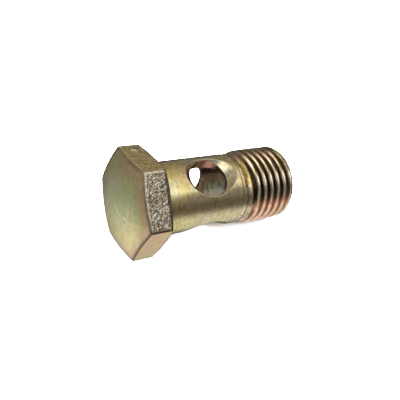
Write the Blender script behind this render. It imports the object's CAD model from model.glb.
import bpy
import math
import numpy as np
from mathutils import Matrix, Vector


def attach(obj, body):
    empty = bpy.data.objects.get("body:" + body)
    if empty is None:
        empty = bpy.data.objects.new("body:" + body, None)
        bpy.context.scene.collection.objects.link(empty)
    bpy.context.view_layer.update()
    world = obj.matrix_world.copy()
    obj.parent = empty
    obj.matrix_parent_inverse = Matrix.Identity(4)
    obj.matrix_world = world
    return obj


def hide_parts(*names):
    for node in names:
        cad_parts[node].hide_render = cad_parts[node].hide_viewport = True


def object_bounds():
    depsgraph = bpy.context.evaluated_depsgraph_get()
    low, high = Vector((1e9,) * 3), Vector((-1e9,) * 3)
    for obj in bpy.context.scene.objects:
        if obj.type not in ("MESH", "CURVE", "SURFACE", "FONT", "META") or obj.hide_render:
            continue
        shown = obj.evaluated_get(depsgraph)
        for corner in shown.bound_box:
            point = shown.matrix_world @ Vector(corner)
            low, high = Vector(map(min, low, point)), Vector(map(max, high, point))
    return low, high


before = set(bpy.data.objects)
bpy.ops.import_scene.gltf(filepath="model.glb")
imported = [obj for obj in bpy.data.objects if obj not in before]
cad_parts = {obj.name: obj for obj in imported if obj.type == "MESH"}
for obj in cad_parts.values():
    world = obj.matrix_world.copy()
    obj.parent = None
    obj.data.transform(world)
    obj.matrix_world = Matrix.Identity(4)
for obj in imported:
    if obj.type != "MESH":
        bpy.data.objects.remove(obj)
cad_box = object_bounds()
cad_box = [list(cad_box[0]), list(cad_box[1])]

# The bolt's own frame (s along the axis, mm) sits in the row frame like this, as it
# rests on one flat of the head and on the thread.
TILT = math.radians(3.358927031875249)
SHIFT = (-11.050954720526097, 0.0, 8.485397728526134)

# ---- bolt geometry (numpy), lengths in mm, in the bolt's own frame ------------
# s runs along the axis from the under-head seat to the thread end, psi is the angle
# about it (0 = down when the bolt lies at rest, right-handed about +s).
AF2, RHO = 8.5, 0.16              # half the width across flats; rounding of the six long edges
CROWN_R, CROWN_TOP = 36.0, 5.66786
FACE_F = 0.20                     # rounding between the crowned face and the flats
SEAT_R, SEAT_SLOPE = 8.6, math.tan(math.radians(17.0))
R_SHANK, SEAT_FIL = 6.5, 0.35
S_SHANK, R_RELIEF = 15.7, 6.30
R_CREST, R_ROOT, PITCH = 6.93, 6.05, 1.5
LENGTH, CH_LEN, CH_DEP = 27.5, 0.75, 0.63
R_BORE, S_BORE, MOUTH = 4.5, 5.9, 0.4
APEX = S_BORE - R_BORE / math.tan(math.radians(59.0))
S_HOLE, R_HOLE, R_SINK = 10.1, 3.5, 5.0
SINK_FLOOR = R_SHANK - (R_SINK - R_HOLE)      # 90 degree countersink
PSI_HOLE = (-149.3, -29.3, 90.7)
ROW_STEP = 0.0625                 # mesh rows along the thread
RIM = 0.10                        # edge break at the countersink's rim


def columns():
    """Angles of the mesh's columns, finer beside the hexagon's corners."""
    out = []
    for k in range(6):
        c = 30.0 + 60.0 * k
        out += [c + o for o in (-1.0, -0.53, -0.40, -0.2, 0.0, 0.2, 0.40, 0.53, 1.0)]
        out += [c + 1.0 + 58.0 * (i + 1) / 40.0 for i in range(39)]
    return np.sort(np.array([round(p % 360.0, 6) for p in out]))


PSI = columns()
NC = len(PSI)


def hexagon(psi, inset=0.0):
    """Radius of the hexagon with rounded corners, its flats moved in by inset."""
    a = np.abs((np.asarray(psi, float) + 30.0) % 60.0 - 30.0)        # from the middle of a flat
    a = np.radians(a)
    h = AF2 - inset
    straight = h / np.cos(a)
    # corner circle: centre on the corner's bisector
    d = (h - RHO) / math.cos(math.radians(30.0))
    b = math.radians(30.0) - a
    arc = d * np.cos(b) + np.sqrt(np.maximum(RHO ** 2 - (d * np.sin(b)) ** 2, 0.0))
    t = math.atan2((h - RHO) * math.tan(math.radians(30.0)), h)
    return np.where(a > t, arc, straight)


def crown(r):
    return -CROWN_TOP + CROWN_R - np.sqrt(CROWN_R ** 2 - np.asarray(r, float) ** 2)


# the thread: run-out phase and height of the ridge above the root, by place on the bolt
S_ROOT0, PSI_ROOT0 = 18.49, -105.0


def thread_radius(s, psi):
    s = np.asarray(s, float)
    turn = ((psi - PSI_ROOT0 + 180.0) % 360.0 - 180.0) / 360.0
    ph = (s - S_ROOT0) / PITCH - turn
    u = np.abs((ph + 0.5) % 1.0 - 0.5) * PITCH              # mm from the nearest root's middle
    crest_half = PITCH / 16.0 * 1.15
    flank = math.tan(math.radians(60.0))
    edge = PITCH / 2 - crest_half
    v = R_CREST - flank * (edge - u)
    # round the crest and the root a little
    def smax(a, b, k):
        h = np.clip(0.5 + 0.5 * (a - b) / k, 0, 1)
        return b + (a - b) * h + k * h * (1 - h)
    v = -smax(-v, np.full_like(v, -R_CREST), 0.07)
    lift = np.clip((s - 25.9) / 1.2, 0, 1) * 0.50         # the last groove is shallow
    v = smax(v, R_ROOT + lift, 0.16)
    # run-out: the blank is a little under the shank, and the ridges rise along it
    w = np.clip((s - 15.9) / (19.1 - 15.9), 0, 1)
    w = w * (0.55 + 0.45 * w)
    k = np.clip((s - S_SHANK) / 0.5, 0, 1)
    k = k * k * (3 - 2 * k)
    blank = R_SHANK + (R_RELIEF - R_SHANK) * k
    r = blank + w * (v - R_RELIEF)
    # lead-in chamfer
    c = R_CREST - CH_DEP * (s - (LENGTH - CH_LEN)) / CH_LEN
    r = np.where(s > LENGTH - CH_LEN - 0.3, -smax(-r, -c, 0.05), r)
    return r


class Mesh:
    def __init__(self):
        self.v, self.f, self.z = [], [], []
        self.n = 0

    def ring(self, s, r, psi=None):
        psi = PSI if psi is None else psi
        s = np.broadcast_to(np.asarray(s, float), psi.shape)
        r = np.broadcast_to(np.asarray(r, float), psi.shape)
        p = np.radians(psi)
        self.v.append(np.stack([s, r * np.sin(p), -r * np.cos(p)], 1))
        ids = np.arange(self.n, self.n + len(psi))
        self.n += len(psi)
        return ids

    def points(self, xyz):
        xyz = np.asarray(xyz, float).reshape(-1, 3)
        self.v.append(xyz)
        ids = np.arange(self.n, self.n + len(xyz))
        self.n += len(xyz)
        return ids

    def bridge(self, a, b, zone, closed=True, flip=False):
        """Quads between two rows of the same length."""
        a, b = np.asarray(a), np.asarray(b)
        if closed:
            a2, b2 = np.roll(a, -1), np.roll(b, -1)
        else:
            a2, b2 = a[1:], b[1:]
            a, b = a[:-1], b[:-1]
        q = np.stack([a, a2, b2, b], 1)
        if flip:
            q = q[:, ::-1]
        self.f.append(q)
        self.z.append(np.full(len(q), zone))

    def fan(self, apex, ring, zone, flip=False):
        a2 = np.roll(ring, -1)
        q = np.stack([np.full(len(ring), apex), a2, ring, np.full(len(ring), -1)], 1)
        if flip:
            q = np.stack([np.full(len(ring), apex), ring, a2, np.full(len(ring), -1)], 1)
        self.f.append(q)
        self.z.append(np.full(len(q), zone))


FACE, FLATS, SEAT, TURNED, THREAD, SINK, BORE, END = range(8)


def sink_loop(theta, off=0.0):
    """Points of the countersink's rim, widened by off, as (s, psi offset in rad, radius)."""
    c = np.full_like(theta, R_SINK)
    for _ in range(60):
        lat = c * np.sin(theta)
        h = np.sqrt(R_SHANK ** 2 - lat ** 2)
        c = 0.5 * c + 0.5 * (R_HOLE + (h - SINK_FLOOR))
    c = c + off
    lat = c * np.sin(theta)
    return c * np.cos(theta), np.arcsin(lat / R_SHANK), c


def build():
    m = Mesh()
    # --- crowned face
    apex = m.points([[-CROWN_TOP, 0, 0]])[0]
    beta = math.asin(9.0 / CROWN_R)
    th = np.linspace(math.pi / 2 - beta, 0, 7)
    inset_c = FACE_F * (1 - math.cos(th[0]))
    rin = hexagon(PSI, inset_c)
    prev = None
    for u in np.concatenate([np.linspace(0.06, 0.9, 13), [0.95, 0.985]]):
        r = rin * u
        cur = m.ring(crown(r), r)
        if prev is None:
            m.fan(apex, cur, FACE)
        else:
            m.bridge(prev, cur, FACE)
        prev = cur
    # --- rounded edge to the flats
    s_t = crown(rin) + FACE_F * math.sin(th[0])
    for a in th:
        cur = m.ring(s_t - FACE_F * math.sin(a), hexagon(PSI, FACE_F * (1 - math.cos(a))))
        m.bridge(prev, cur, FACE if a > th[4] else FLATS)
        prev = cur
    # --- flats
    R = hexagon(PSI)
    eb = 0.15
    s_u = -np.maximum(0.0, (R - SEAT_R) * SEAT_SLOPE) - eb
    for k in (0.04, 0.15, 0.3, 0.5, 0.7, 0.85, 0.96, 1.0):
        cur = m.ring(s_t + (s_u - s_t) * k, R)
        m.bridge(prev, cur, FLATS)
        prev = cur
    # --- broken edge, chamfer under the corners, seat
    for a in np.radians([15, 30, 45, 60, 75, 90]):
        ins = eb * (1 - math.cos(a))
        rr = hexagon(PSI, ins)
        ss = -np.maximum(0.0, (rr - SEAT_R) * SEAT_SLOPE) - eb + eb * math.sin(a)
        cur = m.ring(ss, rr)
        m.bridge(prev, cur, FLATS)
        prev = cur
    r0 = hexagon(PSI, eb)
    r1 = np.minimum(SEAT_R, r0 - 0.03)
    for k in (0.5, 1.0):
        rr = r0 + (r1 - r0) * k
        cur = m.ring(-np.maximum(0.0, (rr - SEAT_R) * SEAT_SLOPE), rr)
        m.bridge(prev, cur, SEAT)
        prev = cur
    rf = R_SHANK + SEAT_FIL
    for k in (0.06, 0.35, 0.7, 0.96, 1.0):
        cur = m.ring(0.0, r1 + (rf - r1) * k)
        m.bridge(prev, cur, SEAT)
        prev = cur
    for a in np.radians([22.5, 45, 67.5, 90]):
        cur = m.ring(SEAT_FIL - SEAT_FIL * math.cos(a), rf - SEAT_FIL * math.sin(a))
        m.bridge(prev, cur, TURNED)
        prev = cur
    # --- shank, with a patch round each cross hole
    s_a, s_b = 0.8, 15.55
    row_a = m.ring(s_a, R_SHANK)
    m.bridge(prev, row_a, TURNED)
    row_b = m.ring(s_b, R_SHANK)
    NS = 34
    side_s = s_a + (s_b - s_a) * (np.arange(1, NS) / NS)
    # bore rows that close the patches inside
    bi_a, bi_b = S_BORE, 14.5
    brow_a = m.ring(bi_a, R_BORE)
    brow_b = m.ring(bi_b, R_BORE)
    bside_s = bi_a + (bi_b - bi_a) * (np.arange(1, NS) / NS)
    walls, bwalls = {}, {}

    def wall(psi):
        key = round(psi % 360.0, 4)
        if key not in walls:
            p = np.full(NS - 1, psi)
            walls[key] = m.ring(side_s, R_SHANK, p)
            bwalls[key] = m.ring(bside_s, R_BORE, p)
        return walls[key], bwalls[key]

    for ph in PSI_HOLE:
        lo, hi = ph - 60.0, ph + 60.0
        off = (PSI - lo + 1e-4) % 360.0 - 1e-4
        order = np.argsort(off)
        sel = [i for i in order if off[i] <= 120.0 + 1e-6]
        # the high side's column has offset 120
        dp = np.radians(off[sel] - 60.0)
        wl, bwl = wall(lo)
        wh, bwh = wall(hi)
        # boundary loop: along s_a from lo to hi, up the hi side, back along s_b, down the lo side
        loop = list(row_a[sel]) + list(wh) + list(row_b[sel])[::-1] + list(wl)[::-1]
        bloop = list(brow_a[sel]) + list(bwh) + list(brow_b[sel])[::-1] + list(bwl)[::-1]
        ls = np.concatenate([np.full(len(sel), s_a), side_s, np.full(len(sel), s_b), side_s[::-1]]) - S_HOLE
        lp = np.concatenate([dp, np.full(NS - 1, math.radians(60)), dp[::-1], np.full(NS - 1, -math.radians(60))])
        bs = np.concatenate([np.full(len(sel), bi_a), bside_s, np.full(len(sel), bi_b), bside_s[::-1]]) - S_HOLE
        # angle about the hole of each boundary point, in the developed plane
        tt = np.linspace(-math.pi, math.pi, 4001)
        hs, hp, _ = sink_loop(tt)
        dev = np.unwrap(np.arctan2(hp * R_SHANK, hs))
        want = np.unwrap(np.arctan2(lp * R_SHANK, ls))
        base = dev[0]
        want = (want - base) % (2 * math.pi) + base
        theta = np.interp(want, dev, tt)
        k0 = int(np.argmin(theta))
        # keep the loop's order, unwrap theta so that neighbours stay neighbours
        theta = np.unwrap(theta)
        rim_s, rim_p, rim_c = sink_loop(theta, RIM)
        N = len(loop)
        prev_r = np.array(loop)
        # rings from the boundary in to the rim
        for k in (0.22, 0.42, 0.60, 0.75, 0.87, 0.96, 1.0):
            ss = ls + (rim_s - ls) * k
            pp = lp + (rim_p - lp) * k
            ang = np.degrees(pp) + ph
            cur = m.ring(S_HOLE + ss, R_SHANK, ang)
            m.bridge(prev_r, cur, TURNED)
            prev_r = cur
        # frame of the hole
        d = np.array([0, math.sin(math.radians(ph)), -math.cos(math.radians(ph))])
        e1 = np.array([1.0, 0, 0])
        e2 = np.array([0, math.cos(math.radians(ph)), math.sin(math.radians(ph))])

        def at(c, h):
            return (np.array([S_HOLE, 0, 0])[None, :] + (c * np.cos(theta))[:, None] * e1
                    + (c * np.sin(theta))[:, None] * e2 + h[:, None] * d)

        # broken rim: a small round between the shank and the cone
        _, _, c0 = sink_loop(theta)
        h_rim = np.sqrt(R_SHANK ** 2 - (rim_c * np.sin(theta)) ** 2)
        c_in = c0 - RIM * 0.9
        h_in = SINK_FLOOR + (c_in - R_HOLE)
        h0 = SINK_FLOOR + (c0 - R_HOLE)
        for k in (0.33, 0.67, 1.0):
            # quadratic curve with the sharp edge as control point
            c = (1 - k) ** 2 * rim_c + 2 * k * (1 - k) * c0 + k * k * c_in
            h = (1 - k) ** 2 * h_rim + 2 * k * (1 - k) * h0 + k * k * h_in
            cur = m.points(at(c, h))
            m.bridge(prev_r, cur, SINK)
            prev_r = cur
        c_fl = np.full(N, R_HOLE + 0.08)
        h_fl = np.full(N, SINK_FLOOR + 0.08)
        for k in (0.12, 0.4, 0.7, 0.93, 1.0):
            cur = m.points(at(c_in + (c_fl - c_in) * k, h_in + (h_fl - h_in) * k))
            m.bridge(prev_r, cur, SINK)
            prev_r = cur
        # inner edge, wall of the hole down to the axial bore
        lat = R_HOLE * np.sin(theta)
        h_b = np.sqrt(R_BORE ** 2 - lat ** 2)
        h_top = np.minimum(SINK_FLOOR - 0.10, h_b + (SINK_FLOOR - h_b) * 0.8)
        for k in (0.5, 1.0):
            c = (1 - k) ** 2 * c_fl + 2 * k * (1 - k) * R_HOLE + k * k * R_HOLE
            h = (1 - k) ** 2 * h_fl + 2 * k * (1 - k) * SINK_FLOOR + k * k * h_top
            cur = m.points(at(c, h))
            m.bridge(prev_r, cur, BORE)
            prev_r = cur
        for k in (0.12, 0.5, 0.88, 1.0):
            cur = m.points(at(np.full(N, R_HOLE), h_top + (h_b - h_top) * k))
            m.bridge(prev_r, cur, BORE)
            prev_r = cur
        # out over the bore's wall to the patch's boundary
        hs2 = R_HOLE * np.cos(theta)
        hp2 = np.arcsin(lat / R_BORE)
        for k in (0.04, 0.2, 0.45, 0.72):
            ss = hs2 + (bs - hs2) * k
            pp = hp2 + (lp - hp2) * k
            cur = m.ring(S_HOLE + ss, R_BORE, np.degrees(pp) + ph)
            m.bridge(prev_r, cur, BORE)
            prev_r = cur
        m.bridge(prev_r, np.array(bloop), BORE)
    # --- thread
    prev = row_b
    rows = np.concatenate([np.arange(15.65, 16.21, 0.08), np.arange(16.26, 26.56, ROW_STEP), np.linspace(26.6, LENGTH, 19)])
    for s in rows:
        cur = m.ring(s, thread_radius(np.full(NC, s), PSI))
        m.bridge(prev, cur, THREAD if s > 16.3 else TURNED)
        prev = cur
    r_last = thread_radius(np.full(NC, LENGTH), PSI)
    # --- end face and mouth of the bore
    for dr, ds in ((0.05, 0.035), (0.10, 0.045)):
        cur = m.ring(LENGTH + 0 * ds, r_last - dr)
        m.bridge(prev, cur, END)
        prev = cur
    rm = R_BORE + MOUTH
    for k in (0.5, 0.93, 1.0):
        cur = m.ring(LENGTH, (r_last - 0.10) + (rm - (r_last - 0.10)) * k)
        m.bridge(prev, cur, END)
        prev = cur
    for k in (0.08, 0.92, 1.0):
        cur = m.ring(LENGTH - MOUTH * k, rm - MOUTH * k)
        m.bridge(prev, cur, END)
        prev = cur
    for s in (26.9, 25.0, 22.0, 19.0, 16.5, 15.2):
        cur = m.ring(s, R_BORE)
        m.bridge(prev, cur, BORE)
        prev = cur
    m.bridge(prev, brow_b, BORE)
    # --- bottom of the bore
    prev = brow_a
    for k in (0.04, 0.3, 0.6, 0.85, 0.97):
        cur = m.ring(S_BORE + (APEX - S_BORE) * k, R_BORE * (1 - k))
        m.bridge(prev, cur, BORE)
        prev = cur
    tip = m.points([[APEX, 0, 0]])[0]
    m.fan(tip, prev, BORE, flip=True)
    v = np.concatenate(m.v)
    f = np.concatenate(m.f)
    z = np.concatenate(m.z)
    return v, f, z



# ================================================================== the mesh object
def to_row(p):
    c, s = math.cos(TILT), math.sin(TILT)
    x = p[:, 0] * c + p[:, 2] * s + SHIFT[0]
    z = -p[:, 0] * s + p[:, 2] * c + SHIFT[2]
    return np.stack([x, p[:, 1] + SHIFT[1], z], 1) * 0.001


verts, faces, zones = build()
pts = to_row(verts)
mesh = bpy.data.meshes.new("bolt_body")
mesh.from_pydata(pts.tolist(), [], [q[q >= 0].tolist() for q in faces])
mesh.update()
bolt = bpy.data.objects.new("bolt_body", mesh)
bpy.context.scene.collection.objects.link(bolt)

# smooth shading by area-weighted normals, so that flats stay flat beside their rounds
tri = np.concatenate([faces[:, [0, 1, 2]], faces[faces[:, 3] >= 0][:, [0, 2, 3]]])
fn = np.cross(pts[tri[:, 1]] - pts[tri[:, 0]], pts[tri[:, 2]] - pts[tri[:, 0]])
vn = np.zeros_like(pts)
for k in range(3):
    np.add.at(vn, tri[:, k], fn)
vn /= np.linalg.norm(vn, axis=1)[:, None]
mesh.polygons.foreach_set("use_smooth", np.ones(len(mesh.polygons), bool))
mesh.normals_split_custom_set_from_vertices(vn.tolist())


# ================================================================== material tools
class Nodes:
    """Short ways to write a node tree. Sockets or plain values go in, a socket comes out."""

    def __init__(self, tree):
        self.t = tree
        self.n = tree.nodes
        self.n.clear()

    def put(self, node, index, value):
        if value is None:
            return
        if isinstance(value, bpy.types.NodeSocket):
            self.t.links.new(value, node.inputs[index])
        else:
            node.inputs[index].default_value = value

    def new(self, kind, props=None, **inputs):
        node = self.n.new(kind)
        for k, v in (props or {}).items():
            setattr(node, k, v)
        for k, v in inputs.items():
            self.put(node, k.replace("_", " ") if isinstance(k, str) else k, v)
        return node

    def m(self, op, a, b=None, c=None, clamp=False):
        node = self.n.new("ShaderNodeMath")
        node.operation, node.use_clamp = op, clamp
        for i, v in enumerate((a, b, c)):
            self.put(node, i, v)
        return node.outputs[0]

    def add(self, a, b):
        return self.m("ADD", a, b)

    def sub(self, a, b):
        return self.m("SUBTRACT", a, b)

    def mul(self, a, b, clamp=False):
        return self.m("MULTIPLY", a, b, clamp=clamp)

    def v(self, op, a, b=None, out=0):
        node = self.n.new("ShaderNodeVectorMath")
        node.operation = op
        self.put(node, 0, a)
        self.put(node, 1, b)
        return node.outputs[out]

    def dot(self, a, b):
        return self.v("DOT_PRODUCT", a, b, "Value")

    def step(self, x, lo, hi, a=0.0, b=1.0):
        """Smooth step of x from lo to hi, giving a to b."""
        node = self.n.new("ShaderNodeMapRange")
        node.interpolation_type = "SMOOTHSTEP"
        for i, v in enumerate((x, lo, hi, a, b)):
            self.put(node, i, v)
        return node.outputs[0]

    def bell(self, x, centre, width):
        """1 at centre, falling to 0 at centre +- width."""
        return self.step(self.m("ABSOLUTE", self.sub(x, centre)), 0.0, width, 1.0, 0.0)

    def mix(self, fac, a, b, mode="MIX"):
        node = self.n.new("ShaderNodeMix")
        node.data_type, node.blend_type, node.clamp_factor = "RGBA", mode, True
        for i, v in ((0, fac), (6, a), (7, b)):
            if isinstance(v, tuple) and len(v) == 3:
                v = (*v, 1.0)
            self.put(node, i, v)
        return node.outputs[2]

    def ramp(self, fac, stops, mode="LINEAR"):
        node = self.n.new("ShaderNodeValToRGB")
        node.color_ramp.interpolation = mode
        e = node.color_ramp.elements
        while len(e) < len(stops):
            e.new(0.5)
        for el, (p, c) in zip(e, stops):
            el.position = p
            el.color = (c, c, c, 1.0) if isinstance(c, float) else (*c, 1.0)
        self.put(node, 0, fac)
        return node.outputs[0]

    def noise(self, vec, scale, detail=2.0, rough=0.5, distortion=0.0, w=None):
        node = self.n.new("ShaderNodeTexNoise")
        if w is not None:
            node.noise_dimensions = "4D"
            self.put(node, "W", w)
        for k, v in (("Vector", vec), ("Scale", scale), ("Detail", detail), ("Roughness", rough), ("Distortion", distortion)):
            self.put(node, k, v)
        return node.outputs[0]

    def voronoi(self, vec, scale, feature="F1", rnd=1.0, smooth=0.5):
        node = self.n.new("ShaderNodeTexVoronoi")
        node.feature = feature
        self.put(node, "Vector", vec)
        self.put(node, "Scale", scale)
        self.put(node, "Randomness", rnd)
        if feature == "SMOOTH_F1":
            self.put(node, "Smoothness", smooth)
        return node.outputs[0]

    def local(self):
        """The point in the bolt's own frame, in mm: x along the axis from the seat."""
        tc = self.n.new("ShaderNodeTexCoord")
        mp = self.n.new("ShaderNodeMapping")
        mp.vector_type = "TEXTURE"
        mp.inputs["Location"].default_value = [c * 0.001 for c in SHIFT]
        mp.inputs["Rotation"].default_value = (0.0, TILT, 0.0)
        mp.inputs["Scale"].default_value = (0.001, 0.001, 0.001)
        self.t.links.new(tc.outputs["Object"], mp.inputs[0])
        return mp.outputs[0]

    def bump(self, height_mm, normal=None):
        node = self.n.new("ShaderNodeBump")
        node.inputs["Strength"].default_value = 1.0
        node.inputs["Distance"].default_value = 0.001
        self.put(node, "Height", height_mm)
        self.put(node, "Normal", normal)
        return node.outputs[0]


def metal(name):
    mat = bpy.data.materials.new(name)
    mat.use_nodes = True
    k = Nodes(mat.node_tree)
    out = k.n.new("ShaderNodeOutputMaterial")
    bsdf = k.n.new("ShaderNodeBsdfPrincipled")
    bsdf.inputs["Metallic"].default_value = 1.0
    k.t.links.new(bsdf.outputs[0], out.inputs[0])
    k.bsdf = bsdf
    p = k.local()
    k.p = p
    xyz = k.n.new("ShaderNodeSeparateXYZ")
    k.t.links.new(p, xyz.inputs[0])
    k.s, k.y, k.z = xyz.outputs
    k.r = k.m("SQRT", k.add(k.mul(k.y, k.y), k.mul(k.z, k.z)))
    return mat, k


def finish_metal(k, colour, rough, normal):
    k.put(k.bsdf, "Base Color", colour)
    k.put(k.bsdf, "Roughness", rough)
    k.put(k.bsdf, "Normal", normal)


# tones of the yellow passivation, linear
GOLD = (0.74, 0.575, 0.22)
OLIVE = (0.52, 0.45, 0.18)
GREEN = (0.50, 0.53, 0.30)
GREYGREEN = (0.50, 0.525, 0.36)
PINK = (0.72, 0.50, 0.36)
TAN = (0.70, 0.57, 0.33)
BROWN = (0.44, 0.30, 0.16)
GREY = (0.50, 0.44, 0.32)
CREAM = (0.82, 0.74, 0.50)
DARK = (0.10, 0.062, 0.028)
ROOT = (0.075, 0.042, 0.020)


def drift(k, scale, seed, detail=3.0, rough=0.55, distortion=0.5):
    return k.noise(k.p, scale, detail, rough, distortion, w=seed)


def towards(psi):
    """Unit vector of an angle about the bolt's axis, 0 = down, in the bolt's frame."""
    a = math.radians(psi)
    return (0.0, math.sin(a), -math.cos(a))


def edge_distance(k):
    """Distance in from the hexagon's sides, mm."""
    far = k.m("ABSOLUTE", k.dot(k.p, towards(0)))
    for psi in (60, 120):
        far = k.m("MAXIMUM", far, k.m("ABSOLUTE", k.dot(k.p, towards(psi))))
    return k.sub(AF2, far)


mats = {}

# ---- crowned face: green-grey in the middle, browner towards its edges
mat, k = metal("zinc_face")
e = edge_distance(k)
n1 = drift(k, 0.17, 1.0)
n2 = drift(k, 0.42, 7.0)
n3 = drift(k, 0.30, 9.0, 4.0, 0.6, 1.2)
c = k.mix(k.step(n1, 0.40, 0.62), (0.50, 0.535, 0.235), (0.50, 0.54, 0.31))
c = k.mix(k.mul(k.step(n3, 0.52, 0.66), 0.5), c, (0.58, 0.60, 0.44))
up = k.step(k.add(k.z, k.mul(k.y, 0.35)), 2.0, 7.5)
c = k.mix(k.mul(up, 0.85), c, (0.50, 0.43, 0.16))
low = k.step(k.z, -0.5, -5.5)
c = k.mix(k.mul(low, 0.85), c, (0.57, 0.50, 0.155))
left = k.mul(k.step(k.dot(k.p, towards(90)), 3.5, 8.0), k.step(k.z, -3.0, 0.5))
c = k.mix(left, c, (0.42, 0.375, 0.085))
tip = k.step(k.add(k.z, k.mul(k.y, 0.5)), -5.5, -9.0)
c = k.mix(k.mul(tip, 0.75), c, (0.62, 0.385, 0.18))
right = k.step(k.y, 1.0, -5.0)
c = k.mix(k.mul(k.mul(right, k.step(k.z, 3.0, -1.5)), 0.75), c, (0.72, 0.62, 0.30))
wide = k.add(e, k.mul(k.sub(n1, 0.5), 3.0))
reach = k.step(k.z, -2.5, 3.5, 2.1, 2.9)
band = k.step(k.m("DIVIDE", wide, reach), 1.15, 0.30)
c = k.mix(k.mul(band, k.step(k.y, 5.0, -1.0, 0.15, 0.9)), c, (0.54, 0.36, 0.20))
c = k.mix(k.mul(k.step(n2, 0.55, 0.68), 0.40), c, (0.72, 0.50, 0.38))
c = k.mix(k.mul(k.step(e, 0.85, 0.25), k.step(k.y, 2.5, -2.0, 0.0, 0.50)), c, (0.24, 0.155, 0.09))
edge = k.step(k.dot(k.p, towards(180)), 7.9, 8.2, 0.80, 0.35)
wide_line = k.mul(k.step(k.dot(k.p, towards(-60)), 7.7, 8.0), 0.14)
for psi, w in ((0, 0.22), (60, 0.34), (120, 0.46)):
    wide_line = k.m("MAXIMUM", wide_line, k.mul(k.step(k.dot(k.p, towards(psi)), 7.4, 7.8), w))
e2 = k.sub(e, wide_line)
c = k.mix(k.mul(k.step(e2, 0.27, 0.06), edge), c, (0.075, 0.042, 0.026))
# handling scuffs: one broken scratch and two nicks beside it
sway = k.mul(k.sub(n3, 0.5), 1.3)
along = k.sub(k.mul(k.sub(k.y, 1.4), -0.947), k.mul(k.add(k.z, 0.6), 0.322))
across = k.sub(k.mul(k.sub(k.y, 1.4), 0.322), k.mul(k.add(k.z, 0.6), 0.947))
scuff = k.mul(k.bell(k.add(across, sway), 0.0, 0.42), k.mul(k.step(along, -0.2, 0.5), k.step(along, 3.2, 2.5)))
for y0, z0, wy, wz, a in ((-2.8, -1.15, 0.62, 0.50, 1.0), (-3.5, 0.35, 0.34, 0.85, 0.6), (-0.4, -2.9, 0.5, 0.35, 0.4)):
    gone = k.add(k.m("POWER", k.mul(k.sub(k.y, y0), 1.0 / wy), 2.0), k.m("POWER", k.mul(k.sub(k.z, z0), 1.0 / wz), 2.0))
    scuff = k.m("MAXIMUM", scuff, k.mul(k.step(k.add(gone, sway), 1.3, 0.1), a))
c = k.mix(k.mul(scuff, 0.55), c, (0.88, 0.92, 0.76))
grain = k.noise(k.p, 3.2, 3.0, 0.6, w=4.0)
c = k.mix(k.mul(k.step(grain, 0.42, 0.64), 0.26), c, (0.24, 0.21, 0.11))
blotch = k.noise(k.v("MULTIPLY", k.p, (1.0, 1.0, 0.5)), 1.5, 3.0, 0.65, w=5.0)
c = k.mix(k.mul(k.step(blotch, 0.50, 0.66), 0.30), c, (0.34, 0.26, 0.13))
c = k.mix(k.mul(k.step(blotch, 0.48, 0.34), 0.25), c, (0.66, 0.68, 0.46))
ring = k.noise(k.new("ShaderNodeCombineXYZ", None, X=k.r).outputs[0], 2.4, 3.0, 0.6)
soft = k.noise(k.p, 0.30, 2.0, 0.5, w=3.0)
h = k.add(k.mul(ring, 0.0035), k.add(k.mul(soft, 0.07), k.mul(grain, 0.006)))
finish_metal(k, c, k.add(0.25, k.mul(grain, 0.10)), k.bump(h))
mats[FACE] = mat

# ---- six side flats: stippled by the forging tool, burnished near their edges
mat, k = metal("zinc_flats")
STIPPLE = {-120: 1.0, 180: 0.42, -60: 0.06, 0: 0.55, 60: 0.75, 120: 0.45}
TINTS = {-120: (0.62, 0.525, 0.40), 180: (0.96, 0.68, 0.24), -60: (1.0, 0.715, 0.40), 0: TAN, 60: GREY, 120: (0.60, 0.51, 0.24)}
amount, c = None, None
n1 = drift(k, 0.25, 11.0)
base = k.mix(k.step(n1, 0.40, 0.62), TAN, OLIVE)
for psi, a in STIPPLE.items():
    on = k.step(k.dot(k.p, towards(psi)), 8.25, 8.42)
    amount = k.mul(on, a) if amount is None else k.add(amount, k.mul(on, a))
    base = k.mix(k.mul(on, 0.8), base, TINTS[psi])
# distances from the four edges of a flat
across = k.m("SQRT", k.m("MAXIMUM", k.sub(k.mul(k.r, k.r), AF2 * AF2), 0.0))
side = k.sub(AF2 * math.tan(math.radians(30.0)), across)
front = k.sub(k.add(k.s, CROWN_TOP), k.mul(k.mul(k.r, k.r), 1.0 / (2 * CROWN_R)))
rear = k.mul(k.s, -1.0)
inner = k.mul(k.step(side, 0.10, 0.48), k.mul(k.step(front, 0.25, 0.62), k.step(rear, 0.25, 0.6)))
pits = k.noise(k.p, 1.8, 2.5, 0.60, 0.8, w=22.0)
cells = k.voronoi(k.p, 2.2, "F1", 1.0)
hue = k.noise(k.p, 1.6, 2.0, 0.6, w=24.0)
base = k.mix(k.mul(k.step(hue, 0.53, 0.66), k.add(0.25, k.mul(amount, 0.35))), base, (0.74, 0.50, 0.37))
lower_flat = k.step(k.dot(k.p, towards(-60)), 8.25, 8.42)
shade = drift(k, 0.75, 26.0)
base = k.mix(k.mul(lower_flat, k.mul(k.step(shade, 0.51, 0.60), 0.85)), base, (0.92, 0.76, 0.34))
base = k.mix(k.mul(lower_flat, k.mul(k.step(shade, 0.48, 0.40), 0.85)), base, (1.0, 0.56, 0.42))
glint = k.m("SQRT", k.add(k.m("POWER", k.add(k.s, 2.0), 2.0), k.m("POWER", k.sub(k.y, 3.2), 2.0)))
base = k.mix(k.mul(k.step(k.add(glint, k.mul(hue, 0.5)), 1.0, 0.45), k.step(k.z, 8.0, 8.3)), base, (1.0, 0.93, 0.74))
base = k.mix(k.mul(k.step(hue, 0.46, 0.34), k.add(0.15, k.mul(amount, 0.35))), base, (0.50, 0.50, 0.24))
rough_h = k.add(k.mul(cells, -0.22), k.mul(pits, 0.38))
cavity = k.step(k.sub(pits, k.mul(cells, 0.22)), 0.43, 0.28)
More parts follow.
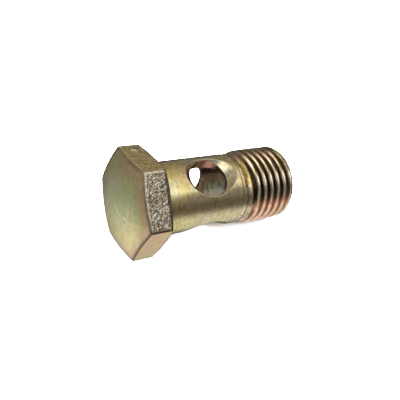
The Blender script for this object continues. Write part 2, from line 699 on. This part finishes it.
clear = k.mul(k.step(k.dot(k.p, towards(-120)), 8.2, 8.4), k.mul(k.step(rear, 5.2, 3.2), k.step(k.z, -0.5, 2.0)))
base = k.mix(k.mul(clear, 0.30), base, (0.88, 0.80, 0.68))
c = k.mix(k.mul(k.mul(cavity, amount), k.mul(inner, k.sub(0.8, k.mul(clear, 0.12)))), base, (0.11, 0.082, 0.048))
peak = k.step(k.sub(pits, k.mul(cells, 0.22)), 0.42, 0.56)
tone = k.noise(k.p, 1.1, 2.0, 0.6, w=25.0)
bright = k.mix(k.step(tone, 0.52, 0.62), (0.96, 0.88, 0.72), (0.92, 0.74, 0.36))
bright = k.mix(k.step(tone, 0.48, 0.38), bright, (0.92, 0.74, 0.66))
c = k.mix(k.mul(k.mul(peak, amount), k.mul(inner, k.step(k.z, -3.0, 2.0, 0.75, 0.98))), c, bright)
c = k.mix(k.mul(k.sub(1.0, inner), k.mul(amount, 0.45)), c, (0.76, 0.66, 0.54))
speck = k.noise(k.p, 3.6, 2.5, 0.6, w=23.0)
c = k.mix(k.mul(k.step(speck, 0.48, 0.62), k.add(0.12, k.mul(amount, k.sub(0.55, k.mul(clear, 0.12))))), c, (0.34, 0.27, 0.11))
smooth_side = k.step(k.dot(k.p, towards(-60)), 8.2, 8.4)
line = k.m("MAXIMUM", k.mul(k.step(side, 0.40, 0.14), k.step(k.dot(k.p, towards(-150)), 9.0, 9.6, 0.9, 0.12)),
           k.mul(k.step(k.sub(front, k.mul(smooth_side, 0.06)), 0.18, 0.08), k.step(k.dot(k.p, towards(180)), 8.2, 8.4, 0.85, 0.45)))
c = k.mix(line, c, (0.075, 0.034, 0.026))
stippled = k.step(k.dot(k.p, towards(-120)), 8.2, 8.4)
back = k.step(k.sub(k.add(rear, k.mul(k.sub(pits, 0.5), 0.7)), k.mul(stippled, 0.38)), 0.46, 0.16)
c = k.mix(k.mul(back, 0.82), c, (0.09, 0.070, 0.034))
h = k.add(k.mul(k.mul(rough_h, inner), amount), k.mul(k.mul(speck, k.add(0.12, k.mul(amount, 2.0))), 0.014))
h = k.add(h, k.mul(k.mul(k.step(glint, 1.0, 0.0), k.step(k.z, 8.0, 8.3)), 0.32))
finish_metal(k, c, k.add(0.22, k.mul(speck, 0.10)), k.bump(h))
mats[FLATS] = mat

# ---- under-head seat, turned shank, end face
for zone, name in ((SEAT, "zinc_seat"), (TURNED, "zinc_turned"), (END, "zinc_end")):
    mat, k = metal(name)
    n1 = drift(k, 0.22, 31.0)
    n2 = drift(k, 0.50, 33.0)
    c = k.mix(k.step(n1, 0.38, 0.62), TAN, GOLD)
    c = k.mix(k.mul(k.step(n2, 0.52, 0.62), 0.7), c, (0.74, 0.49, 0.34))
    c = k.mix(k.mul(k.step(n2, 0.48, 0.38), 0.65), c, (0.50, 0.49, 0.14))
    if zone == TURNED:
        gold = k.mul(k.bell(k.s, 2.5, 4.0), k.step(k.dot(k.p, towards(-150)), 3.5, 6.2))
        c = k.mix(k.mul(gold, 0.8), c, (0.84, 0.62, 0.15))
        rosy = k.mul(k.step(drift(k, 0.7, 34.0), 0.50, 0.60), k.bell(k.s, 5.5, 5.0))
        c = k.mix(k.mul(rosy, 0.35), c, (0.74, 0.44, 0.30))
        green = k.step(k.dot(k.p, towards(-72)), 3.8, 6.0)
        c = k.mix(k.mul(green, 0.7), c, (0.68, 0.62, 0.37))
        low = k.mul(k.step(k.dot(k.p, towards(-64)), 5.6, 6.3), k.step(k.s, 7.0, 3.0))
        c = k.mix(k.mul(low, 0.6), c, (0.70, 0.61, 0.19))
        pale = k.mul(k.bell(k.s, 1.6, 3.2), k.step(k.dot(k.p, towards(-134)), 6.1, 6.4))
        c = k.mix(k.mul(pale, 0.8), c, (0.90, 0.82, 0.46))
        sv = k.v("MULTIPLY", k.p, (1.0, 0.05, 0.05))
    else:
        sv = k.new("ShaderNodeCombineXYZ", None, X=k.r).outputs[0]
    lines = k.noise(sv, 3.6, 3.0, 0.75, w=35.0)
    fine = k.noise(k.v("MULTIPLY", k.p, (1.0, 0.25, 0.25)), 6.5, 2.0, 0.6, w=36.0)
    c = k.mix(k.mul(k.step(lines, 0.46, 0.62), 0.26), c, (0.30, 0.24, 0.12))
    blotch = k.noise(k.v("MULTIPLY", k.p, (1.0, 0.6, 0.6)), 2.0, 3.0, 0.65, w=37.0)
    c = k.mix(k.mul(k.step(blotch, 0.50, 0.62), 0.44), c, (0.40, 0.28, 0.17))
    c = k.mix(k.mul(k.step(blotch, 0.48, 0.38), 0.34), c, (0.86, 0.78, 0.54))
    h = k.add(k.mul(lines, 0.016), k.mul(fine, 0.009))
    finish_metal(k, c, k.add(0.20, k.mul(fine, 0.08)), k.bump(h))
    mats[zone] = mat

# ---- thread: bright crests, brown in the roots, pinker below
mat, k = metal("zinc_thread")
n1 = drift(k, 0.25, 41.0)
c = k.mix(k.step(n1, 0.40, 0.60), (0.84, 0.75, 0.55), (0.77, 0.68, 0.49))
c = k.mix(k.mul(k.step(k.dot(k.p, towards(-126)), 6.55, 6.85), 0.7), c, (0.88, 0.84, 0.78))
c = k.mix(k.mul(k.step(k.dot(k.p, towards(-102)), 6.3, 6.75), 0.7), c, (0.60, 0.64, 0.55))
c = k.mix(k.mul(k.mul(k.step(k.dot(k.p, towards(-50)), 4.3, 5.3), k.step(k.s, 17.0, 19.0)), 0.95), c, (0.88, 0.52, 0.37))
c = k.mix(k.mul(k.step(k.dot(k.p, towards(-60)), 4.3, 5.3), k.step(k.s, 23.5, 26.0, 0.0, 0.65)), c, (0.62, 0.49, 0.33))
c = k.mix(k.mul(k.step(k.dot(k.p, towards(-178)), 6.0, 6.8), 0.6), c, (0.76, 0.45, 0.30))
patch = k.noise(k.v("MULTIPLY", k.p, (0.6, 1.0, 1.0)), 0.9, 3.0, 0.65, w=44.0)
run = k.step(k.s, 19.2, 18.0)
c = k.mix(k.mul(run, k.mul(k.step(patch, 0.50, 0.60), 0.75)), c, (0.46, 0.29, 0.08))
c = k.mix(k.mul(run, k.mul(k.step(patch, 0.46, 0.38), 0.6)), c, (0.92, 0.84, 0.60))
upper = k.step(k.dot(k.p, towards(-168)), 5.5, 6.3)
c = k.mix(k.mul(upper, k.mul(k.step(k.r, 6.78, 6.86), k.step(k.s, 18.0, 19.0))), c, (0.085, 0.052, 0.018))
golden = k.mul(k.step(k.s, 18.9, 17.3), k.step(k.dot(k.p, towards(-158)), 4.2, 6.0))
c = k.mix(k.mul(golden, 0.85), c, (0.66, 0.45, 0.12))
ragged = k.noise(k.v("MULTIPLY", k.p, (1.0, 0.35, 0.35)), 1.7, 3.0, 0.65, 0.8, w=46.0)
c = k.mix(k.mul(golden, k.mul(k.step(ragged, 0.49, 0.57), 0.85)), c, (0.22, 0.135, 0.035))
c = k.mix(k.mul(golden, k.mul(k.step(ragged, 0.46, 0.38), 0.60)), c, (0.92, 0.78, 0.46))
# duller over the top and towards the thread's end
over = k.mul(k.step(k.dot(k.p, towards(158)), 4.6, 6.2), k.step(k.y, 4.5, 2.5))
c = k.mix(k.mul(over, k.step(ragged, 0.62, 0.42, 0.55, 0.88)), c, (0.36, 0.22, 0.135))
dull = k.mul(k.step(k.dot(k.p, towards(165)), 4.6, 5.8), k.mul(k.step(k.s, 22.5, 26.3), k.step(k.y, 4.5, 2.5)))
c = k.mix(k.mul(dull, 0.90), c, (0.27, 0.19, 0.095))
rim_ = k.mul(k.step(k.s, 26.45, 26.85), 0.85)
crown = k.mul(k.step(k.dot(k.p, towards(172)), 3.6, 5.4), k.step(k.s, 25.6, 26.4))
c = k.mix(rim_, c, k.mix(k.step(k.dot(k.p, towards(-70)), 3.0, 5.0), (0.38, 0.30, 0.16), (0.56, 0.50, 0.38)))
c = k.mix(k.mul(rim_, k.mul(k.step(patch, 0.53, 0.60), 0.9)), c, (0.95, 0.86, 0.66))
c = k.mix(k.mul(crown, 0.80), c, (0.150, 0.105, 0.050))
# where the thread runs out: fine dark lines that follow its lead
turn = k.m("DIVIDE", k.sub(k.m("ARCTAN2", k.y, k.mul(k.z, -1.0)), math.radians(PSI_ROOT0)), 2 * math.pi)
turn = k.sub(k.m("FRACT", k.add(turn, 0.5)), 0.5)
lead = k.sub(k.s, k.mul(turn, PITCH))
near = k.step(k.dot(k.p, towards(PSI_ROOT0)), -2.0, 2.0)
wob = k.mul(k.sub(patch, 0.5), 0.8)
marks = k.m("MAXIMUM", k.mul(k.bell(k.add(lead, wob), S_ROOT0 - PITCH + 0.02, 0.34), 0.75),
            k.mul(k.bell(k.add(lead, wob), S_ROOT0 - 2 * PITCH - 0.15, 0.22), 0.35))
c = k.mix(k.mul(marks, near), c, (0.15, 0.088, 0.020))
tarnish = k.noise(k.v("MULTIPLY", k.p, (1.4, 1.0, 1.0)), 0.8, 3.0, 0.65, 0.6, w=47.0)
c = k.mix(k.mul(k.step(tarnish, 0.51, 0.61), k.step(k.s, 18.0, 19.5, 0.15, 0.50)), c, (0.42, 0.30, 0.135))
c = k.mix(k.mul(k.step(tarnish, 0.47, 0.39), k.step(k.s, 18.0, 19.5, 0.10, 0.35)), c, (0.95, 0.86, 0.70))
dirt = k.noise(k.p, 1.4, 3.0, 0.6, w=43.0)
depth = k.add(k.r, k.mul(k.sub(dirt, 0.5), 0.16))
full = k.mul(k.step(lead, 17.7, 18.2), k.step(k.s, 26.7, 26.4))
first = k.step(lead, 19.6, 19.1)
fade = k.step(turn, -0.27, -0.15, 0.85, 0.0)
full = k.mul(full, k.sub(1.0, k.mul(first, fade)))
worn = k.mix(k.step(k.s, 19.0, 24.0), (0.15, 0.100, 0.055), (0.27, 0.190, 0.125))
root = k.mix(k.step(k.dot(k.p, towards(-75)), 4.6, 5.8), (0.085, 0.060, 0.030), worn)
root = k.mix(k.step(k.dot(k.p, towards(-60)), 4.5, 5.6), root, (0.46, 0.255, 0.155))
root = k.mix(k.step(k.dot(k.p, towards(-35)), 4.3, 5.3), root, (0.23, 0.115, 0.068))
root = k.mix(k.step(k.dot(k.p, towards(-150)), 4.4, 5.6), root, (0.095, 0.046, 0.008))
root = k.mix(k.step(k.dot(k.p, towards(162)), 4.9, 6.2), root, (0.060, 0.028, 0.007))
root = k.mix(k.mul(first, k.step(k.dot(k.p, towards(-125)), 4.5, 5.9)), root, (0.050, 0.031, 0.014))
depth = k.add(depth, k.mul(upper, 0.10))
c = k.mix(k.mul(k.step(depth, 6.80, 6.42), full), c, root)
fine = k.noise(k.p, 5.0, 2.0, 0.6, w=45.0)
finish_metal(k, c, k.add(0.17, k.mul(fine, 0.08)), k.bump(k.mul(fine, 0.006)))
mats[THREAD] = mat

# ---- countersinks and the inside
for zone, name in ((SINK, "zinc_countersink"), (BORE, "zinc_bore")):
    mat, k = metal(name)
    n1 = drift(k, 0.30, 51.0)
    c = k.mix(k.step(n1, 0.40, 0.62), (0.72, 0.64, 0.45), (0.58, 0.50, 0.26))
    tone = k.noise(k.p, 0.9, 2.0, 0.6, w=52.0)
    c = k.mix(k.mul(k.step(tone, 0.52, 0.62), 0.6), c, (0.60, 0.50, 0.44))
    if zone == SINK:
        right_side = k.step(k.s, S_HOLE + 2.6, S_HOLE + 3.9)
        c = k.mix(k.mul(right_side, k.mul(k.step(k.z, 5.2, 3.4), 0.85)), c, (0.46, 0.33, 0.10))
        spots = k.noise(k.p, 1.0, 3.0, 0.65, 0.6, w=55.0)
        c = k.mix(k.mul(right_side, k.mul(k.step(spots, 0.52, 0.60), 0.6)), c, (0.33, 0.26, 0.14))
        c = k.mix(k.mul(right_side, k.mul(k.step(spots, 0.46, 0.38), 0.45)), c, (0.80, 0.72, 0.48))
        c = k.mix(k.step(k.r, 6.30, 6.44, 0.0, 0.8), c, (0.50, 0.385, 0.265))
        corner = k.mul(k.step(k.s, S_HOLE + 1.6, S_HOLE + 3.0), k.step(k.z, 3.6, 2.4))
        c = k.mix(k.mul(corner, k.step(k.add(k.r, k.mul(k.sub(spots, 0.5), 0.5)), 5.95, 6.25, 0.0, 0.75)), c, (0.20, 0.140, 0.060))
    if zone == BORE:
        k.put(k.bsdf, "Metallic", 0.78)
        c = k.mix(k.step(n1, 0.42, 0.60), (0.40, 0.33, 0.19), (0.34, 0.33, 0.20))
        rings = k.noise(k.v("MULTIPLY", k.p, (1.0, 0.10, 0.10)), 2.6, 3.0, 0.7, w=57.0)
        c = k.mix(k.mul(k.step(rings, 0.50, 0.62), 0.65), c, (0.15, 0.115, 0.060))
        c = k.mix(k.mul(k.step(rings, 0.46, 0.36), 0.45), c, (0.66, 0.58, 0.38))
        c = k.mix(k.mul(k.step(tone, 0.50, 0.60), 0.35), c, (0.50, 0.31, 0.19))
        wall = k.step(k.r, 4.503, 4.57)
        deep = k.mul(k.sub(1.0, wall), k.mul(k.mul(k.step(k.s, 20.4, 19.0), k.step(k.s, 11.0, 13.4)), k.step(k.y, 0.0, 1.5)))
        c = k.mix(k.mul(deep, k.step(k.z, -0.8, -2.0)), c, (0.72, 0.78, 0.62))
        marks = k.noise(k.v("MULTIPLY", k.p, (1.0, 0.12, 0.12)), 1.7, 2.0, 0.6, w=54.0)
        soot = k.noise(k.v("MULTIPLY", k.p, (1.0, 0.5, 0.5)), 1.6, 3.0, 0.65, 0.8, w=56.0)
        c = k.mix(k.mul(deep, k.mul(k.step(k.z, -1.0, -2.0), k.step(marks, 0.48, 0.60))), c, (0.36, 0.38, 0.27))
        c = k.mix(k.mul(deep, k.step(k.z, -1.5, -0.2)), c, (0.33, 0.225, 0.150))
        c = k.mix(k.mul(deep, k.mul(k.step(k.z, 0.0, -1.3), k.step(k.s, 16.8, 18.2))), c, (0.46, 0.47, 0.40))
        edge_s = k.add(k.s, k.mul(k.sub(soot, 0.5), 2.4))
        c = k.mix(k.mul(deep, k.mul(k.step(edge_s, 15.5, 14.3), k.step(k.z, -4.2, -2.6))), c, (0.31, 0.195, 0.095))
        c = k.mix(k.mul(deep, k.mul(k.bell(k.s, 15.3, 0.60), k.step(k.z, -0.5, -1.5))), c, (0.15, 0.24, 0.12))
        c = k.mix(k.mul(deep, k.mul(k.bell(k.s, 16.1, 0.45), k.step(k.z, -2.0, -2.5))), c, (0.95, 0.98, 0.84))
        c = k.mix(k.mul(deep, k.mul(k.bell(k.s, 18.2, 0.36), k.step(k.z, -1.9, -2.4))), c, (0.90, 0.92, 0.80))
        c = k.mix(k.mul(deep, k.mul(k.step(soot, 0.51, 0.61), 0.50)), c, (0.11, 0.090, 0.060))
        foot = k.mul(k.step(k.add(k.z, k.mul(k.sub(soot, 0.5), 1.2)), -2.1, -2.75), 0.75)
        c = k.mix(k.mul(deep, foot), c, (0.84, 0.80, 0.66))
        c = k.mix(k.mul(deep, k.mul(k.step(soot, 0.46, 0.37), 0.40)), c, (0.60, 0.52, 0.42))
        c = k.mix(k.mul(deep, k.step(k.z, 0.2, 1.6)), c, (0.055, 0.020, 0.016))
        c = k.mix(wall, c, (0.30, 0.17, 0.11))
        c = k.mix(k.mul(wall, k.step(k.s, S_HOLE + 1.9, S_HOLE + 2.4)), c, (0.030, 0.014, 0.008))
        c = k.mix(k.mul(wall, k.step(k.s, S_HOLE - 0.2, S_HOLE - 0.9)), c, (0.030, 0.014, 0.008))
        high = k.mul(wall, k.step(k.z, 3.0, 4.4))
        c = k.mix(k.mul(high, k.bell(k.s, S_HOLE + 0.5, 1.2)), c, (0.17, 0.070, 0.035))
        rose = k.add(k.s, k.mul(k.sub(soot, 0.5), 1.4))
        c = k.mix(k.mul(high, k.bell(rose, S_HOLE + 1.8, 1.25)), c, (0.50, 0.26, 0.195))
    fine = k.noise(k.v("MULTIPLY", k.p, (1.0, 0.3, 0.3)), 3.5, 3.0, 0.6, w=53.0)
    finish_metal(k, c, k.add(0.32 if zone == BORE else 0.18, k.mul(fine, 0.10)), k.bump(k.mul(fine, 0.012)))
    mats[zone] = mat

for zone in range(8):
    mesh.materials.append(mats[zone])
mesh.polygons.foreach_set("material_index", zones.astype(np.int32))
mesh.update()

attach(bolt, "root")
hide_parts("banjo_bolt")

# ================================================================== floor
bpy.ops.mesh.primitive_circle_add(vertices=96, radius=1.6, fill_type="NGON", location=(0, 0, 0))
floor = bpy.context.object
floor.name = "floor"
mat = bpy.data.materials.new("floor_white")
mat.use_nodes = True
bs = mat.node_tree.nodes["Principled BSDF"]
bs.inputs["Base Color"].default_value = (0.9, 0.9, 0.9, 1.0)
bs.inputs["Roughness"].default_value = 0.9
bs.inputs["Specular IOR Level"].default_value = 0.0
floor.data.materials.append(mat)
floor.visible_glossy = False

# ================================================================== surroundings
world = bpy.data.worlds.new("studio")
bpy.context.scene.world = world
world.use_nodes = True
k = Nodes(world.node_tree)
tc = k.n.new("ShaderNodeTexCoord")
d = tc.outputs["Generated"]
xyz = k.n.new("ShaderNodeSeparateXYZ")
k.t.links.new(d, xyz.inputs[0])
el = k.add(k.m("DIVIDE", k.m("ARCSINE", xyz.outputs[2]), math.pi), 0.5)


def profile(points):
    """Brightness, or a colour, at each elevation in degrees, for a colour ramp."""
    return [((e + 90.0) / 180.0, v if isinstance(v, tuple) else float(v)) for e, v in points]


def heading(a):
    a = math.radians(a)
    return (math.cos(a), math.sin(a), 0.0)


def direction(e, a):
    e, a = math.radians(e), math.radians(a)
    return (math.cos(e) * math.cos(a), math.cos(e) * math.sin(a), math.sin(e))


# one side of the room has the long soft box, the other is plainer
side = profile([(-90, .78), (-64, .82), (-54, .92), (-48, .93), (-42, .84), (-36, .64), (-31, .32), (-26, (.17, .145, .12)),
                (-12, (.145, .12, .10)), (-5, (.17, .145, .125)), (0, .20), (8, .26), (16, .31), (22, .38), (25, .50), (28, .90),
                (31, (1.30, 1.38, 1.50)), (35, (1.40, 1.60, 1.85)), (39, (1.18, 1.28, 1.42)), (45, .95), (53, .94), (58, .72), (70, .72), (90, .70)])
rest_ = profile([(-90, .68), (-60, .72), (-50, .84), (-42, .92), (-35, .86), (-32, .68), (-28, .47), (-22, .37), (-16, .31), (-10, .26), (0, .24),
                 (10, .24), (27, .28), (35, .34), (48, .44), (57, .60), (90, .70)])
A = k.ramp(el, side)
B = k.ramp(el, rest_)
flat = k.v("NORMALIZE", k.v("MULTIPLY", d, (1.0, 1.0, 0.0)))
below = k.step(xyz.outputs[2], 0.05, -0.12)
gain = k.add(1.0, k.mul(below, k.add(-0.36, k.step(k.dot(flat, heading(150)), 0.5, 1.0, 0.0, 0.74))))
B = k.v("SCALE", B, None)
B.node.inputs["Scale"].default_value = 1.0
k.t.links.new(gain, B.node.inputs["Scale"])
env = k.mix(k.step(k.dot(flat, heading(-57)), 0.05, 0.65), B, A)
dim = k.mul(k.step(k.dot(flat, heading(35)), 0.72, 0.92), k.bell(xyz.outputs[2], math.sin(math.radians(-16)), 0.30))
env = k.mix(k.mul(dim, 0.75), env, (0.05, 0.045, 0.04))
rim = k.step(k.dot(d, direction(-31, 55)), math.cos(math.radians(40)), math.cos(math.radians(12)), 0.0, 0.85)
env = k.mix(rim, env, (0.04, 0.033, 0.026))
lobe = k.step(k.dot(d, direction(32, -144)), math.cos(math.radians(27)), math.cos(math.radians(8)), 0.0, 1.35)
lobe = k.add(lobe, k.step(k.dot(d, direction(13, 164)), math.cos(math.radians(25)), math.cos(math.radians(12)), 0.0, 1.3))
lobe = k.add(lobe, k.step(k.dot(d, direction(28, 150)), math.cos(math.radians(17)), math.cos(math.radians(7)), 0.0, 1.1))
lobe = k.add(lobe, k.step(k.dot(d, direction(-27, -168)), math.cos(math.radians(20)), math.cos(math.radians(8)), 0.0, 0.35))
env = k.v("ADD", env, k.new("ShaderNodeCombineXYZ", None, X=lobe, Y=lobe, Z=lobe).outputs[0])
bg = k.n.new("ShaderNodeBackground")
k.t.links.new(env, bg.inputs[0])
seen = k.n.new("ShaderNodeBackground")
seen.inputs[0].default_value = (1.0, 1.0, 1.0, 1.0)
lp = k.n.new("ShaderNodeLightPath")
both = k.n.new("ShaderNodeMixShader")
k.t.links.new(lp.outputs["Is Camera Ray"], both.inputs[0])
k.t.links.new(bg.outputs[0], both.inputs[1])
k.t.links.new(seen.outputs[0], both.inputs[2])
out = k.n.new("ShaderNodeOutputWorld")
k.t.links.new(both.outputs[0], out.inputs[0])

lamp = bpy.data.lights.new("overhead", "SUN")
lamp.energy, lamp.angle = 19.0, math.radians(110.0)
top = bpy.data.objects.new("overhead", lamp)
bpy.context.scene.collection.objects.link(top)
top.location = (0.0, 0.0, 0.4)
top.rotation_euler = (math.radians(12.0), math.radians(8.0), 0.0)
top.visible_glossy = False

# ================================================================== camera
cam = bpy.data.cameras.new("camera")
cam.lens, cam.sensor_width, cam.clip_start, cam.clip_end = 53.1, 36.0, 0.001, 10.0
eye = bpy.data.objects.new("camera", cam)
bpy.context.scene.collection.objects.link(eye)
right, up, back = ((0.8481518, -0.51875757, 0.10737365), (0.18917122, 0.48590552, 0.85329366), (-0.494826, -0.70341055, 0.51025565))
eye.matrix_world = Matrix([[right[i], up[i], back[i], p] for i, p in enumerate((-0.0537438321, -0.07621828182, 0.06144860275))] + [[0, 0, 0, 1]])
bpy.context.scene.camera = eye
bpy.context.scene.view_settings.view_transform = "Standard"
